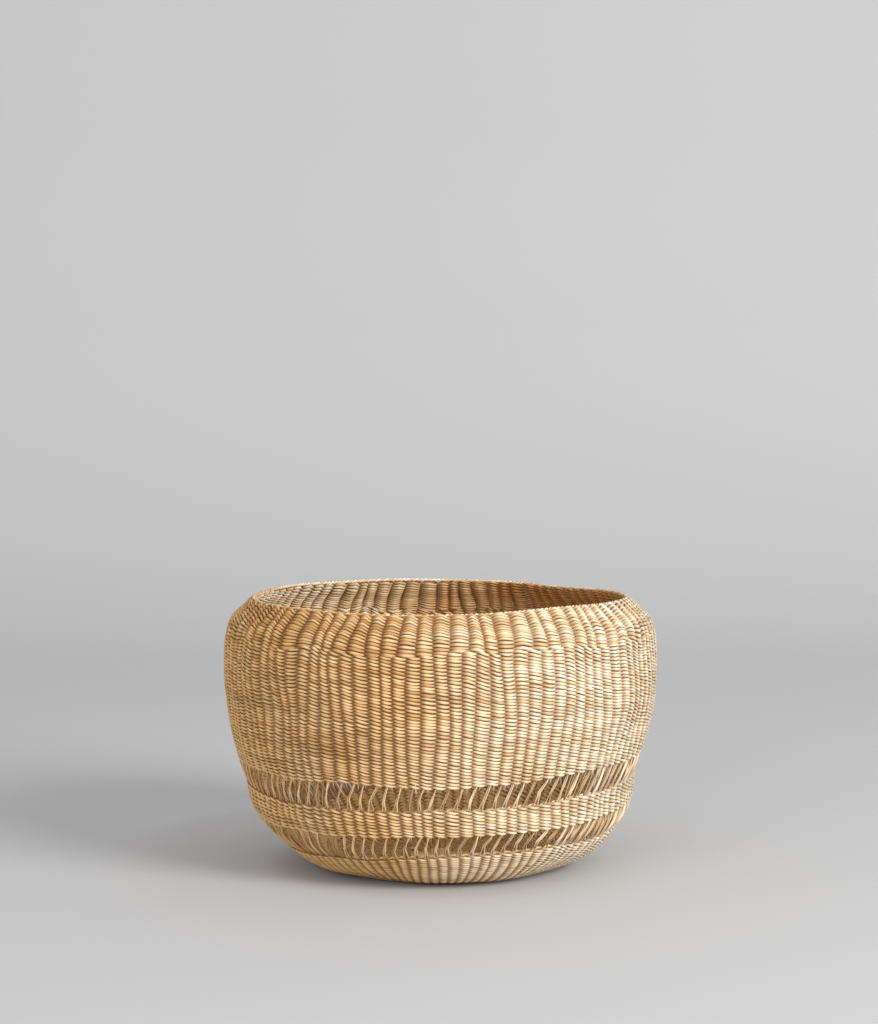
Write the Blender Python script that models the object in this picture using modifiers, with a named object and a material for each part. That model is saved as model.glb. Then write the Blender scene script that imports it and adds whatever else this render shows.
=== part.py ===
"""Round storage basket, twined from grass stakes, with two bands of openwork low on the wall.

Metres, +Z up. The basket stands on Z = 0 and its axis is the Z axis. The view from the front looks
along +Y, with +X to the right.
"""

import math

import bmesh
import bpy
import numpy as np
from mathutils import Matrix, Vector
from mathutils.geometry import interpolate_bezier

# Outer shape, measured to the crests of the ribs
HEIGHT = 0.2365
BASE_RADIUS = 0.0875
FLANK_RADIUS = 0.169
FLANK_HEIGHT = 0.0684
FLANK_LEAN = 0.032
BELLY_RADIUS = 0.190
BELLY_HEIGHT = 0.1736
MOUTH_RADIUS = 0.1655
MOUTH_LEAN = -0.76

# Fullness of the outer curve beside each knot, as a share of the stretch it lies in
BASE_FULLNESS = 0.56
FLANK_FULLNESS_BELOW = 0.37
FLANK_FULLNESS_ABOVE = 0.06
BELLY_FULLNESS_BELOW = 0.43
BELLY_FULLNESS_ABOVE = 0.87
MOUTH_FULLNESS = 0.34

# Twined wall
STAKES = 105
SHOULDER_STAKES = 84
RIB_DEPTH = 0.0022
WALL_THICKNESS = 0.006
INNER_SIDES = 42

# Level edges: the top of the floor, the bend of the foot as a share of its siding, and the shoulder
FLOOR_THICKNESS = 0.005
FOOT_BEND = 0.33
SHOULDER_HEIGHT = 0.0310

# Edges of the openworks, whose rows aren't level: heights at the front, at +X, at the back and at -X
LOWER_GAP_BOTTOM = (0.0315, 0.0403, 0.0460, 0.0225)
LOWER_GAP_TOP = (0.0508, 0.0608, 0.0680, 0.0506)
UPPER_GAP_BOTTOM = (0.0735, 0.0832, 0.0860, 0.0755)
UPPER_GAP_TOP = (0.0975, 0.1040, 0.1060, 0.0965)

# The rows over the upper openwork hang lower near the middle of the front
FRONT_SAG = 0.0042
SAG_PLACE = math.radians(7.0)
SAG_SPREAD = math.radians(25.0)

# Openwork strands, placed round the wall in shares of the distance between two stakes
STRAND_WIDTH = 0.0021
NEAR_FOOT = 0.08
FAR_FOOT = 0.36
FORK_PLACE = 0.40
TOP_PLACE = 0.80
FORK_HEIGHT = 0.45

# Rim cord and the cross of first stakes
CORD_DIAMETER = 0.0042
CORD_TWIST = 0.0004
CROSS_LENGTH = 0.052
CROSS_WIDTH = 0.018
CROSS_THICKNESS = 0.0034

# Running clearance between pieces that touch
CLEARANCE = 0.0003

SHOULDER_BOTTOM = HEIGHT - SHOULDER_HEIGHT

CURVE_POINTS = 60
CORD_SIDES = 4
MERGE_DISTANCE = 0.00001
SHARP_ANGLE = math.radians(50.0)
TWINED_ROUGHNESS = 0.7
BARE_ROUGHNESS = 0.65
OUTER_RUN = 2.0
INNER_RUN = 1.0


def clear_scene():
    for item in list(bpy.data.objects):
        bpy.data.objects.remove(item, do_unlink=True)


def grass(name, colour, roughness):
    """A matt grass finish for one sub-part."""
    material = bpy.data.materials.new(name)
    material.use_nodes = True
    shader = material.node_tree.nodes["Principled BSDF"]
    shader.inputs["Base Color"].default_value = (*colour, 1.0)
    shader.inputs["Roughness"].default_value = roughness
    shader.inputs["Metallic"].default_value = 0.0
    return material


def outer_curve():
    """The outer outline from the floor to the rim, as radii and heights."""
    base = Vector((BASE_RADIUS, 0.0))
    flank = Vector((FLANK_RADIUS, FLANK_HEIGHT))
    belly = Vector((BELLY_RADIUS, BELLY_HEIGHT))
    mouth = Vector((MOUTH_RADIUS, HEIGHT))
    outwards = Vector((flank.x - base.x, 0.0))
    up_flank = (flank.y - base.y) * Vector((FLANK_LEAN, 1.0))
    up_waist = (belly.y - flank.y) * Vector((FLANK_LEAN, 1.0))
    up_belly = (belly.y - flank.y) * Vector((0.0, 1.0))
    up_shoulder = (mouth.y - belly.y) * Vector((0.0, 1.0))
    up_mouth = (mouth.y - belly.y) * Vector((MOUTH_LEAN, 1.0))
    stretches = (
        (base, base + BASE_FULLNESS * outwards, flank - FLANK_FULLNESS_BELOW * up_flank, flank),
        (flank, flank + FLANK_FULLNESS_ABOVE * up_waist, belly - BELLY_FULLNESS_BELOW * up_belly, belly),
        (belly, belly + BELLY_FULLNESS_ABOVE * up_shoulder, mouth - MOUTH_FULLNESS * up_mouth, mouth),
    )
    points = []
    for stretch in stretches:
        points += interpolate_bezier(*stretch, CURVE_POINTS)
    return [point.x for point in points], [point.y for point in points]


CURVE_RADII, CURVE_HEIGHTS = outer_curve()


def radius_at(height):
    return float(np.interp(height, CURVE_HEIGHTS, CURVE_RADII))


def on_wall(angle, height, depth=0.0):
    """The point of the wall at an angle from the front, a height and a depth under the crests."""
    radius = radius_at(height) - depth
    return Vector((radius * math.sin(angle), -radius * math.cos(angle), height))


def level_edge(height):
    return lambda angle: height


def swung_edge(sides, sag=0.0):
    """An edge that swings smoothly through its heights at the front, at +X, at the back and at -X."""
    front, right, back, left = sides
    mean = (front + right + back + left) / 4.0

    def height_at(angle):
        from_sag = math.remainder(angle - SAG_PLACE, math.tau)
        swing = (front - back) / 2.0 * math.cos(angle) + (right - left) / 2.0 * math.sin(angle)
        double_swing = (front - right + back - left) / 4.0 * math.cos(2.0 * angle)
        hang = sag * math.exp(-((from_sag / SAG_SPREAD) ** 2))
        return mean + swing + double_swing - hang

    return height_at


def between(bottom, top, share, angle):
    """The height at a share of the way from one edge to the next."""
    return bottom(angle) + share * (top(angle) - bottom(angle))


def add_object(name, mesh_builder, material, collection):
    mesh = bpy.data.meshes.new(name)
    mesh_builder.to_mesh(mesh)
    mesh_builder.free()
    mesh.materials.append(material)
    item = bpy.data.objects.new(name, mesh)
    collection.objects.link(item)
    return item


def spun_wall(builder, sides, outer_shares, inner_shares):
    """Spins a closed upright outline round the axis, with the outer and inner runs far apart."""
    outer = [builder.verts.new((OUTER_RUN, 0.0, share)) for share in outer_shares]
    inner = [builder.verts.new((INNER_RUN, 0.0, share)) for share in inner_shares]
    outline = outer + inner[::-1]
    edges = [builder.edges.new(pair) for pair in zip(outline, outline[1:] + outline[:1])]
    bmesh.ops.spin(
        builder,
        geom=outline + edges,
        cent=(0.0, 0.0, 0.0),
        axis=(0.0, 0.0, 1.0),
        angle=math.tau,
        steps=sides,
        use_merge=True,
    )
    bmesh.ops.recalc_face_normals(builder, faces=builder.faces)


def ribbed_siding(name, stakes, edges, shares, material, collection):
    """A twined zone: ribs on its outside, one to a stake, a plainer inside and closed edges."""
    bottom, top = edges
    outer_shares, inner_shares = shares
    builder = bmesh.new()
    sides = 2 * stakes
    spun_wall(builder, sides, outer_shares, inner_shares)
    sides_per_facet = sides // INNER_SIDES
    facet_corners = {}
    spare_corners = {}
    for vert in builder.verts:
        angle = math.atan2(vert.co.y, vert.co.x) % math.tau
        side = round(angle / math.tau * sides) % sides
        share = vert.co.z
        depth = WALL_THICKNESS
        if vert.co.xy.length > (OUTER_RUN + INNER_RUN) / 2.0:
            depth = RIB_DEPTH * (side % 2)
        elif side % sides_per_facet:
            spare_corners[vert] = (side // sides_per_facet, round(share, 6))
        else:
            facet_corners[side // sides_per_facet, round(share, 6)] = vert
        turn = side * math.tau / sides
        vert.co = on_wall(turn, between(bottom, top, share, turn), depth)
    targets = {vert: facet_corners[place] for vert, place in spare_corners.items()}
    bmesh.ops.weld_verts(builder, targetmap=targets)
    siding = add_object(name, builder, material, collection)
    siding.data.shade_smooth()
    siding.data.set_sharp_from_angle(angle=SHARP_ANGLE)
    return siding


def even_shares(bands):
    return [step / bands for step in range(bands + 1)]


def base_floor(material, collection):
    """The flat twined disc, wider on top where the wall turns up from it."""
    builder = bmesh.new()
    bmesh.ops.create_cone(
        builder,
        cap_ends=True,
        segments=2 * INNER_SIDES,
        radius1=BASE_RADIUS,
        radius2=radius_at(FLOOR_THICKNESS),
        depth=FLOOR_THICKNESS,
        matrix=Matrix.Translation((0.0, 0.0, FLOOR_THICKNESS / 2.0)),
    )
    return add_object("base_floor", builder, material, collection)


def stake_bundle(name, turn, material, collection):
    """A flat bundle of first stakes on the middle of the floor."""
    builder = bmesh.new()
    bmesh.ops.create_cube(builder, size=1.0)
    bmesh.ops.scale(builder, vec=(CROSS_LENGTH, CROSS_WIDTH, CROSS_THICKNESS), verts=builder.verts)
    bmesh.ops.rotate(builder, matrix=Matrix.Rotation(turn, 3, "Z"), verts=builder.verts)
    lift = FLOOR_THICKNESS + CLEARANCE + CROSS_THICKNESS / 2.0
    bmesh.ops.translate(builder, vec=(0.0, 0.0, lift), verts=builder.verts)
    return add_object(name, builder, material, collection)


def start_cross(material, collection, cutters):
    """Two crossed bundles united, with rounded edges."""
    cross = stake_bundle("start_cross", 0.0, material, collection)
    second = stake_bundle("second_bundle", math.pi / 2.0, material, cutters)
    second.hide_render = True
    second.display_type = "WIRE"
    union = cross.modifiers.new("Crossing", "BOOLEAN")
    union.operation = "UNION"
    union.solver = "EXACT"
    union.object = second
    bevel = cross.modifiers.new("Rounded bundles", "BEVEL")
    bevel.width = CROSS_THICKNESS / 4.0
    bevel.segments = 1
    bevel.limit_method = "ANGLE"
    return cross


def openwork(name, bottom, top, material, collection):
    """Bare stakes between two twined zones, each forked into two strands at its foot.

    One open cell between two neighbouring stakes is drawn on the wall, repeated round it, and its
    edges are then given the strands' thickness.
    """
    pitch = math.tau / STAKES
    margin = STRAND_WIDTH / 2.0 + CLEARANCE
    cell = (
        (FAR_FOOT, 0.0),
        (1.0 + NEAR_FOOT, 0.0),
        (1.0 + FORK_PLACE, FORK_HEIGHT),
        (1.0 + TOP_PLACE, 1.0),
        (TOP_PLACE, 1.0),
        (FORK_PLACE, FORK_HEIGHT),
    )
    builder = bmesh.new()
    for stake in range(STAKES):
        corners = []
        for place, share in cell:
            angle = (stake + place) * pitch
            height = between(bottom, top, share, angle) + margin * (1.0 - 2.0 * share)
            corners.append(builder.verts.new(on_wall(angle, height, WALL_THICKNESS / 2.0)))
        builder.faces.new(corners)
    bmesh.ops.remove_doubles(builder, verts=builder.verts, dist=MERGE_DISTANCE)
    bmesh.ops.recalc_face_normals(builder, faces=builder.faces)
    band = add_object(name, builder, material, collection)
    strands = band.modifiers.new("Strands", "WIREFRAME")
    strands.thickness = STRAND_WIDTH
    strands.use_boundary = True
    strands.use_replace = True
    strands.use_even_offset = True
    band.data.shade_smooth()
    return band


def rim_cord(material, collection):
    """The thin border cord on the mouth, its two plies turning once for every two ribs."""
    builder = bmesh.new()
    cord_radius = CORD_DIAMETER / 2.0
    section_place = Matrix.Translation((MOUTH_RADIUS - cord_radius, 0.0, HEIGHT - cord_radius))
    section = bmesh.ops.create_circle(
        builder,
        segments=CORD_SIDES,
        radius=cord_radius - CORD_TWIST,
        matrix=section_place @ Matrix.Rotation(math.pi / 2.0, 4, "X"),
    )
    sections = 2 * SHOULDER_STAKES
    bmesh.ops.spin(
        builder,
        geom=section["verts"] + list(builder.edges),
        cent=(0.0, 0.0, 0.0),
        axis=(0.0, 0.0, 1.0),
        angle=math.tau,
        steps=sections,
        use_merge=True,
    )
    for vert in builder.verts:
        angle = math.atan2(vert.co.y, vert.co.x) % math.tau
        swing = math.cos(round(angle / math.tau * sections) * math.pi)
        up_and_out = Vector((math.cos(angle), math.sin(angle), 1.0)).normalized()
        vert.co += CORD_TWIST * swing * up_and_out
    bmesh.ops.recalc_face_normals(builder, faces=builder.faces)
    cord = add_object("rim_cord", builder, material, collection)
    cord.data.shade_smooth()
    return cord


def new_collection(name):
    collection = bpy.data.collections.new(name)
    bpy.context.scene.collection.children.link(collection)
    return collection


def build_wall(basket, straw, pale_straw, stake_straw):
    """The four twined zones and the two openworks between them, from the floor up."""
    foot_edges = level_edge(FLOOR_THICKNESS + CLEARANCE), swung_edge(LOWER_GAP_BOTTOM)
    middle_edges = swung_edge(LOWER_GAP_TOP), swung_edge(UPPER_GAP_BOTTOM)
    body_edges = swung_edge(UPPER_GAP_TOP, FRONT_SAG), level_edge(SHOULDER_BOTTOM)
    shoulder_top = HEIGHT - CORD_DIAMETER - CLEARANCE
    shoulder_edges = level_edge(SHOULDER_BOTTOM + CLEARANCE), level_edge(shoulder_top)
    bent = (0.0, FOOT_BEND, 1.0), (0.0, FOOT_BEND, 1.0)
    straight = even_shares(1), even_shares(1)
    rounded = even_shares(3), even_shares(2)
    sidings = (
        ("foot", STAKES, foot_edges, bent, straw),
        ("middle", STAKES, middle_edges, straight, pale_straw),
        ("body", STAKES, body_edges, rounded, pale_straw),
        ("shoulder", SHOULDER_STAKES, shoulder_edges, rounded, pale_straw),
    )
    for zone, stakes, edges, shares, colour in sidings:
        twined_grass = grass(zone + "_grass", colour, TWINED_ROUGHNESS)
        ribbed_siding(zone + "_siding", stakes, edges, shares, twined_grass, basket)
    gaps = (
        ("lower", foot_edges[1], middle_edges[0]),
        ("upper", middle_edges[1], body_edges[0]),
    )
    for gap, bottom, top in gaps:
        bare_grass = grass(gap + "_stake_grass", stake_straw, BARE_ROUGHNESS)
        openwork(gap + "_openwork", bottom, top, bare_grass, basket)


def build_basket():
    clear_scene()
    basket = new_collection("storage_basket")
    cutters = new_collection("cutters")
    straw = (0.58, 0.42, 0.24)
    pale_straw = (0.68, 0.53, 0.33)
    stake_straw = (0.62, 0.45, 0.24)
    base_floor(grass("floor_grass", straw, TWINED_ROUGHNESS), basket)
    start_cross(grass("cross_grass", stake_straw, BARE_ROUGHNESS), basket, cutters)
    build_wall(basket, straw, pale_straw, stake_straw)
    rim_cord(grass("rim_grass", pale_straw, BARE_ROUGHNESS), basket)


build_basket()
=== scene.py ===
"""Twined grass storage basket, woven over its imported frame.

The wall is made of the strands that a weaver handles: two weft strands wind round the stakes row by
row, the stakes stand bare and forked in two openwork bands, and a two-ply cord closes the mouth.
Angles are counted from the middle of the front, where the viewer stands, towards +X.
"""

import math
from dataclasses import dataclass

import bmesh
import bpy
import numpy as np
from bpy.props import FloatProperty, FloatVectorProperty, IntProperty, PointerProperty
from mathutils import Matrix, Vector
from mathutils.geometry import interpolate_bezier


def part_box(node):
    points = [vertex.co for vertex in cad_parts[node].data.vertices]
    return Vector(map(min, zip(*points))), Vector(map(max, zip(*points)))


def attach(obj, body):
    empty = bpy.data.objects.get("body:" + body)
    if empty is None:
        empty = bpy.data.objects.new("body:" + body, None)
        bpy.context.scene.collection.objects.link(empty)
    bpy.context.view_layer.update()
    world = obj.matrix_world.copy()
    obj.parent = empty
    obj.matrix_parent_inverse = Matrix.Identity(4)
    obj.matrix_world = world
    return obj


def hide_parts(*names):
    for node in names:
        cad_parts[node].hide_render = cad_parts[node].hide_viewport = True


bl_info = {
    "name": "Twined Grass Basket",
    "version": (1, 0, 0),
    "blender": (4, 5, 0),
    "location": "3D View > Sidebar > Basket",
    "description": "Weaves a round twined basket with two bands of openwork over its frame",
    "category": "Add Mesh",
}

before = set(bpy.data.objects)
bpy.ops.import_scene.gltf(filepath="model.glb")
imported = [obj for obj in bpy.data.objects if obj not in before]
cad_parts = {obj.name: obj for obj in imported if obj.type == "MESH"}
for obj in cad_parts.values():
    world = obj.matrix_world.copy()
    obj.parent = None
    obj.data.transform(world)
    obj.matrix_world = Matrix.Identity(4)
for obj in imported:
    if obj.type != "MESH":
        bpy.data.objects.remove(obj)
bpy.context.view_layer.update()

TAU = math.tau
BODY = "root"
SEED = 20

# Drum that strands are wound on, and rack that rods are cut on, before they are laid on the wall
DRUM_RADIUS = 1.0
DRUM_STEP = 0.5
STRAND_RADIUS = 0.05
DRUM_FACES = 21
MERGE_DISTANCE = 0.0001

# Outline of the wall's outer face, as shares of each stretch between its knots
BASE_FULLNESS = 0.56
FLANK_FULLNESS_BELOW = 0.37
FLANK_FULLNESS_ABOVE = 0.06
BELLY_FULLNESS_BELOW = 0.43
BELLY_FULLNESS_ABOVE = 0.87
MOUTH_FULLNESS = 0.34
FLANK_LEAN = 0.032
MOUTH_LEAN = -0.76
CURVE_POINTS = 120
SAME_POINT = 0.00001
CREST_MARGIN = 0.0006

# Unevenness of handwork: dents in metres, drifts as shares of a rib or of a row
DENT_DEPTH = 0.0008
DENT_FADE = 0.03
JOIN_DRIFT = 0.0028
RIB_DRIFT = 0.14
ROW_DRIFT = 0.22
STAKE_SHIFT = 0.08
STITCH_LIFT = 0.07

# How far the wall's middle strays to the viewer's right at some heights
SWAY_HEIGHTS = (0.0, 0.022, 0.050, 0.080, 0.110, 0.150, 0.195, 0.2365)
SWAY = (0.0010, 0.0022, 0.0004, -0.0016, -0.0013, 0.0003, -0.0013, -0.0004)

# Shape of a weft stitch: its reach past its rib, its heights as shares of a row, the foot of its
# arch, the step in phase that its slope is read over, and how many stitches dive at a row's end
STITCH_REACH = 0.34
STITCH_WAIST = 0.25
STITCH_BELLY = 0.24
STITCH_BULGE = 0.8
ARCH_FOOT = 0.38
SLOPE_STEP = 0.2
TUCKED_STITCHES = 1.5

# Inside of the wall, by height in metres: painted light and swollen strands low down, painted shade
# higher up
LOW_INSIDE_OVER = 0.01
LOW_INSIDE_GROWTH = 0.22
SHADED_FROM = 0.12
SHADED_OVER = 0.05

# How strongly each thing lightens a strand, or darkens it: random tones, clean edges, a painted
# highlight on the raised end, painted light low inside and painted shade higher inside
STITCH_TONE = 0.46
BLADE_TONE = 0.42
ROW_TONE = 0.12
EDGE_TONE = 0.12
PAINTED_HIGHLIGHT_TONE = 0.20
LOW_INSIDE_LIGHT = 0.50
SHADED_TONE = 0.20
# Painted shade on the stakes hidden inside the ribs
HIDDEN_STAKE_SHADE = 0.95

# Stitches that one blade of grass lasts, and how many the second strand's blades are ahead
BLADE_STITCHES = 9
BLADE_LEAD = 4

# How far ends run on into the rows that hold them, in metres; the one below zero stops short
RING_LAP = 0.0010
SIDING_LAP = 0.002
HELD_BACK = -0.0015
STAKE_RUN = 0.0034
SPLINT_RUN = 0.003
UNDER_RIM = 0.0013

# Rods: width in a rib, flatness of a blade, a splint's size, and how wide the front is bare of them
HIDDEN_WIDTH = 0.52
BLADE_FLATNESS = 0.72
SPLINT_SIZE = 0.00052
BARE_FRONT = 0.30

# Rim cord: its twists round the mouth, and how many radii a ply lies from the cord's middle
RIM_TWISTS = 126
PLY_OFFSET = 0.92

# Finishes of the grass: slot, shift of tone, and strength of fibres, painted shade in hollows, and
# stains
FINISHES = {
    "woven_wall_grass": ("wall_grass", 0.0, 0.50, 0.95, 0.30),
    # The floor's darker tone and stronger hollows are painted shade of the basket's inside
    "woven_floor_grass": ("floor_grass", -0.22, 0.50, 1.40, 0.30),
    "woven_foot_grass": ("foot_grass", 0.04, 0.50, 1.0, 0.20),
    "woven_shoulder_grass": ("wall_grass", -0.15, 0.50, 1.0, 0.20),
    "hidden_stake_grass": ("stake_grass", -0.10, 0.30, 1.0, 0.0),
    "bare_stake_grass": ("stake_grass", -0.12, 0.50, 0.95, 0.10),
    "twisted_rim_grass": ("rim_grass", -0.10, 0.50, 0.85, 0.10),
}
STRENGTHS = ("Tone Shift", "Fibre", "Painted Shade", "Stain")
COLOURS = ("Straw", "Ruddy", "Pale", "Sand", "Brown")
LIGHTNESS_RANGE = (0.58, 1.22)
STREAK_RANGE = (0.52, 0.72)
ROUGHNESS_RANGE = (0.40, 0.75)
BLADE_CONTRAST = 0.5
# Painted light: how far the side towards the key lamp is drawn pale, over random pale patches;
# painted shade is cut where straw is pale
PAINTED_LIGHT_BLEACH = 0.65
PATCH_BLEACH = 0.9
BLEACH_BASE = -0.05
PAINTED_SHADE_POWER = 1.7
SHADE_CUT_WHERE_BLEACHED_OR_LIT = -0.50

# Studio: lamps by place, width, watts and colour, what they aim at, and the viewer's camera
LAMPS = {
    "key_light": ((2.99, -2.69, 1.79), 1.8, 190.0, (1.0, 1.0, 0.99)),
    "fill_light": ((-1.7, -3.2, 0.8), 2.2, 48.0, (1.0, 1.0, 1.0)),
}
LAMP_AIM = (0.0, 0.0, 0.12)
AIR_STRENGTH = 0.66
VIEWER_PLACE = (-0.0017, -2.2405, 0.4466)
VIEWER_DOWN = 3.51
SENSOR = 36.0
LENS = 2561.2 / 1024.0 * SENSOR


def length(name, description, default):
    return FloatProperty(name=name, description=description, default=default, unit="LENGTH")


def tint(name, description, default):
    return FloatVectorProperty(name=name, description=description, default=default, subtype="COLOR")


class BasketShape(bpy.types.PropertyGroup):
    """Sizes of the basket's wall."""

    height: length("Height", "Top of the rim cord", 0.2365)
    base_radius: length("Base radius", "Edge of the flat underside", 0.0875)
    flank_radius: length("Flank radius", "Radius between the openworks", 0.169)
    flank_height: length("Flank height", "Height of the flank knot", 0.0684)
    belly_radius: length("Belly radius", "Widest radius", 0.190)
    belly_height: length("Belly height", "Height of the widest place", 0.1736)
    mouth_radius: length("Mouth radius", "Outer radius of the rim", 0.1655)
    rim_lift: length("Rim lift", "How far the whole rim is pulled up", 0.0010)
    rim_wave: length("Rim wave", "Rise and fall of the uneven rim", 0.0022)


class WeaveSizes(bpy.types.PropertyGroup):
    """Counts and strand sizes of the twining."""

    stakes: IntProperty(name="Stakes", description="Stakes round the wall", default=105)
    shoulder_stakes: IntProperty(
        name="Shoulder stakes", description="Stakes left round the shoulder", default=84
    )
    row_pitch: length("Row pitch", "Distance between two rows", 0.00275)
    strand: length("Strand", "Half thickness of a weft strand", 0.00092)
    stake_strand: length("Stake strand", "Radius of one bare stake strand", 0.00070)
    cord_ply: length("Cord ply", "Radius of one ply of the rim cord", 0.00078)


class GrassColours(bpy.types.PropertyGroup):
    """Colours of the dry grass and of the studio."""

    straw: tint("Straw", "Light straw", (0.82, 0.52, 0.21))
    ruddy: tint("Ruddy", "Reddish straw", (0.52, 0.245, 0.060))
    # Pale and Sand cover random bleached patches and, as painted light, the side towards the key
    # lamp
    pale: tint("Pale", "Light straw that the sun has bleached", (0.88, 0.80, 0.63))
    sand: tint("Sand", "Darker bleached straw", (0.64, 0.47, 0.26))
    # Brown is laid in real stain streaks and, as painted shade, in hollows and on hidden strands
    brown: tint("Brown", "Stained and hidden straw", (0.20, 0.080, 0.018))
    studio: tint("Studio", "Floor and backdrop", (0.52, 0.52, 0.527))


class BasketSettings(bpy.types.PropertyGroup):
    """Everything that a user may change."""

    shape: PointerProperty(type=BasketShape)
    weave: PointerProperty(type=WeaveSizes)
    colours: PointerProperty(type=GrassColours)


def settings():
    return bpy.context.scene.twined_basket


def clamped(value):
    return np.clip(value, 0.0, 1.0)


def new_object(name, data):
    item = bpy.data.objects.new(name, data)
    bpy.context.scene.collection.objects.link(item)
    return item


class Outline:
    """The wall's outer face by its length from the centre of the floor."""

    def __init__(self, shape):
        base = Vector((shape.base_radius, 0.0))
        flank = Vector((shape.flank_radius, shape.flank_height))
        belly = Vector((shape.belly_radius, shape.belly_height))
        mouth = Vector((shape.mouth_radius, shape.height))
        outwards = Vector((flank.x - base.x, 0.0))
        up_flank = (flank.y - base.y) * Vector((FLANK_LEAN, 1.0))
        up_waist = (belly.y - flank.y) * Vector((FLANK_LEAN, 1.0))
        up_belly = (belly.y - flank.y) * Vector((0.0, 1.0))
        up_shoulder = (mouth.y - belly.y) * Vector((0.0, 1.0))
        up_mouth = (mouth.y - belly.y) * Vector((MOUTH_LEAN, 1.0))
        above_base = base + BASE_FULLNESS * outwards
        below_flank = flank - FLANK_FULLNESS_BELOW * up_flank
        above_flank = flank + FLANK_FULLNESS_ABOVE * up_waist
        below_belly = belly - BELLY_FULLNESS_BELOW * up_belly
        above_belly = belly + BELLY_FULLNESS_ABOVE * up_shoulder
        below_mouth = mouth - MOUTH_FULLNESS * up_mouth
        stretches = (
            (base, above_base, below_flank, flank),
            (flank, above_flank, below_belly, belly),
            (belly, above_belly, below_mouth, mouth),
        )
        points = [Vector((0.0, 0.0))]
        for stretch in stretches:
            points += interpolate_bezier(*stretch, CURVE_POINTS)
        path = np.array([(point.x, point.y) for point in points])
        steps = np.hypot(*np.diff(path, axis=0).T)
        path = path[np.append(True, steps > SAME_POINT)]
        self.radii, self.heights = path.T
        self.arcs = np.append(0.0, np.cumsum(steps[steps > SAME_POINT]))
        along_r = np.gradient(self.radii, self.arcs)
        along_z = np.gradient(self.heights, self.arcs)
        size = np.hypot(along_r, along_z)
        self.tangent_r, self.tangent_z = along_r / size, along_z / size
        self.floor_points = int(np.searchsorted(self.arcs, shape.base_radius))

    def radius(self, arc):
        return np.interp(arc, self.arcs, self.radii)

    def height(self, arc):
        return np.interp(arc, self.arcs, self.heights)

    def tangent(self, arc):
        return np.interp(arc, self.arcs, self.tangent_r), np.interp(arc, self.arcs, self.tangent_z)

    def arc_at(self, height):
        return np.interp(height, self.heights[self.floor_points :], self.arcs[self.floor_points :])


class Wall:
    """The woven wall, by angle from the front, arc up the outline, and depth under the crests."""

    def __init__(self):
        self.shape = settings().shape
        self.outline = Outline(self.shape)
        chance = np.random.default_rng(SEED)
        self.dents = waves(chance, 10, (2, 9), (0.05, 0.25))
        self.row_drift = waves(chance, 14, (3, 22), (0.02, 0.08))
        self.rib_drift = waves(chance, 12, (3, 24), (0.08, 0.30))
        self.join_drift = waves(chance, 12, (5, 32), (0.5, 1.0))

    def rim_rise(self, angle, height):
        """The uneven rim rises at the front right and the back left, and fades down the wall."""
        wave = np.sin(2.0 * angle) * (0.65 + 0.35 * np.sin(angle))
        rise = self.shape.rim_lift + self.shape.rim_wave * wave
        return rise * (height / self.shape.height) ** 4

    def place(self, angle, arc, depth):
        """Points in metres; depth counts inwards, square to the outer face."""
        fade = clamped((arc - self.shape.base_radius) / DENT_FADE)
        depth = depth + DENT_DEPTH * fade * field(self.dents, angle, arc)
        tangent_r, tangent_z = self.outline.tangent(arc)
        radius = self.outline.radius(arc) - depth * tangent_z
        height = self.outline.height(arc) + depth * tangent_r
        height = height + self.rim_rise(angle, height)
        sway = np.interp(height, SWAY_HEIGHTS, SWAY)
        return np.stack((radius * np.sin(angle) + sway, -radius * np.cos(angle), height), axis=-1)


def waves(chance, count, rounds, lengths):
    """A smooth random field over angle and arc, as a list of sine waves with their phases."""
    around = chance.integers(rounds[0], rounds[1] + 1, count)
    along = TAU / chance.uniform(lengths[0], lengths[1], count)
    phases = chance.uniform(0.0, TAU, count)
    return list(zip(around, along * chance.choice((-1.0, 1.0), count), phases))


def field(wave_list, angle, arc):
    """The value of a smooth random field, about -1 to 1."""
    total = sum(np.sin(around * angle + along * arc + phase) for around, along, phase in wave_list)
    return total / math.sqrt(len(wave_list))


class Stakes:
    """The standing stakes, counted from a seam at the back, none quite in its even place."""

    def __init__(self, wall, count, seed):
        chance = np.random.default_rng(seed)
        self.wall = wall
        self.count = count
        self.pitch = TAU / count
        self.seam = self.pitch * round(math.pi / self.pitch)
        self.shifts = chance.uniform(-STAKE_SHIFT, STAKE_SHIFT, count)
        self.swells = chance.uniform(0.86, 1.10, count)

    def blend(self, values, place):
        """A value that belongs to each stake, blended between neighbours."""
        below = np.floor(place).astype(int)
        share = place - below
        share = share * share * (3.0 - 2.0 * share)
        return values[below % self.count] * (1.0 - share) + values[(below + 1) % self.count] * share

    def even_angle(self, place):
        return self.seam + self.pitch * place

    def angle(self, place, arc):
        """The angle of a place counted in stakes, with the stakes' own shifts and drift."""
        even = self.even_angle(place)
        drift = RIB_DRIFT * field(self.wall.rib_drift, even, arc)
        return even + self.pitch * (self.blend(self.shifts, place) + drift)

    def rib_width(self, arc):
        return self.pitch * self.wall.outline.radius(arc)

    def backwards(self, place):
        """How far a place looks to the back: 1 at the back, 0 on the front half."""
        return clamped(-np.cos(self.even_angle(place)))


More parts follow.
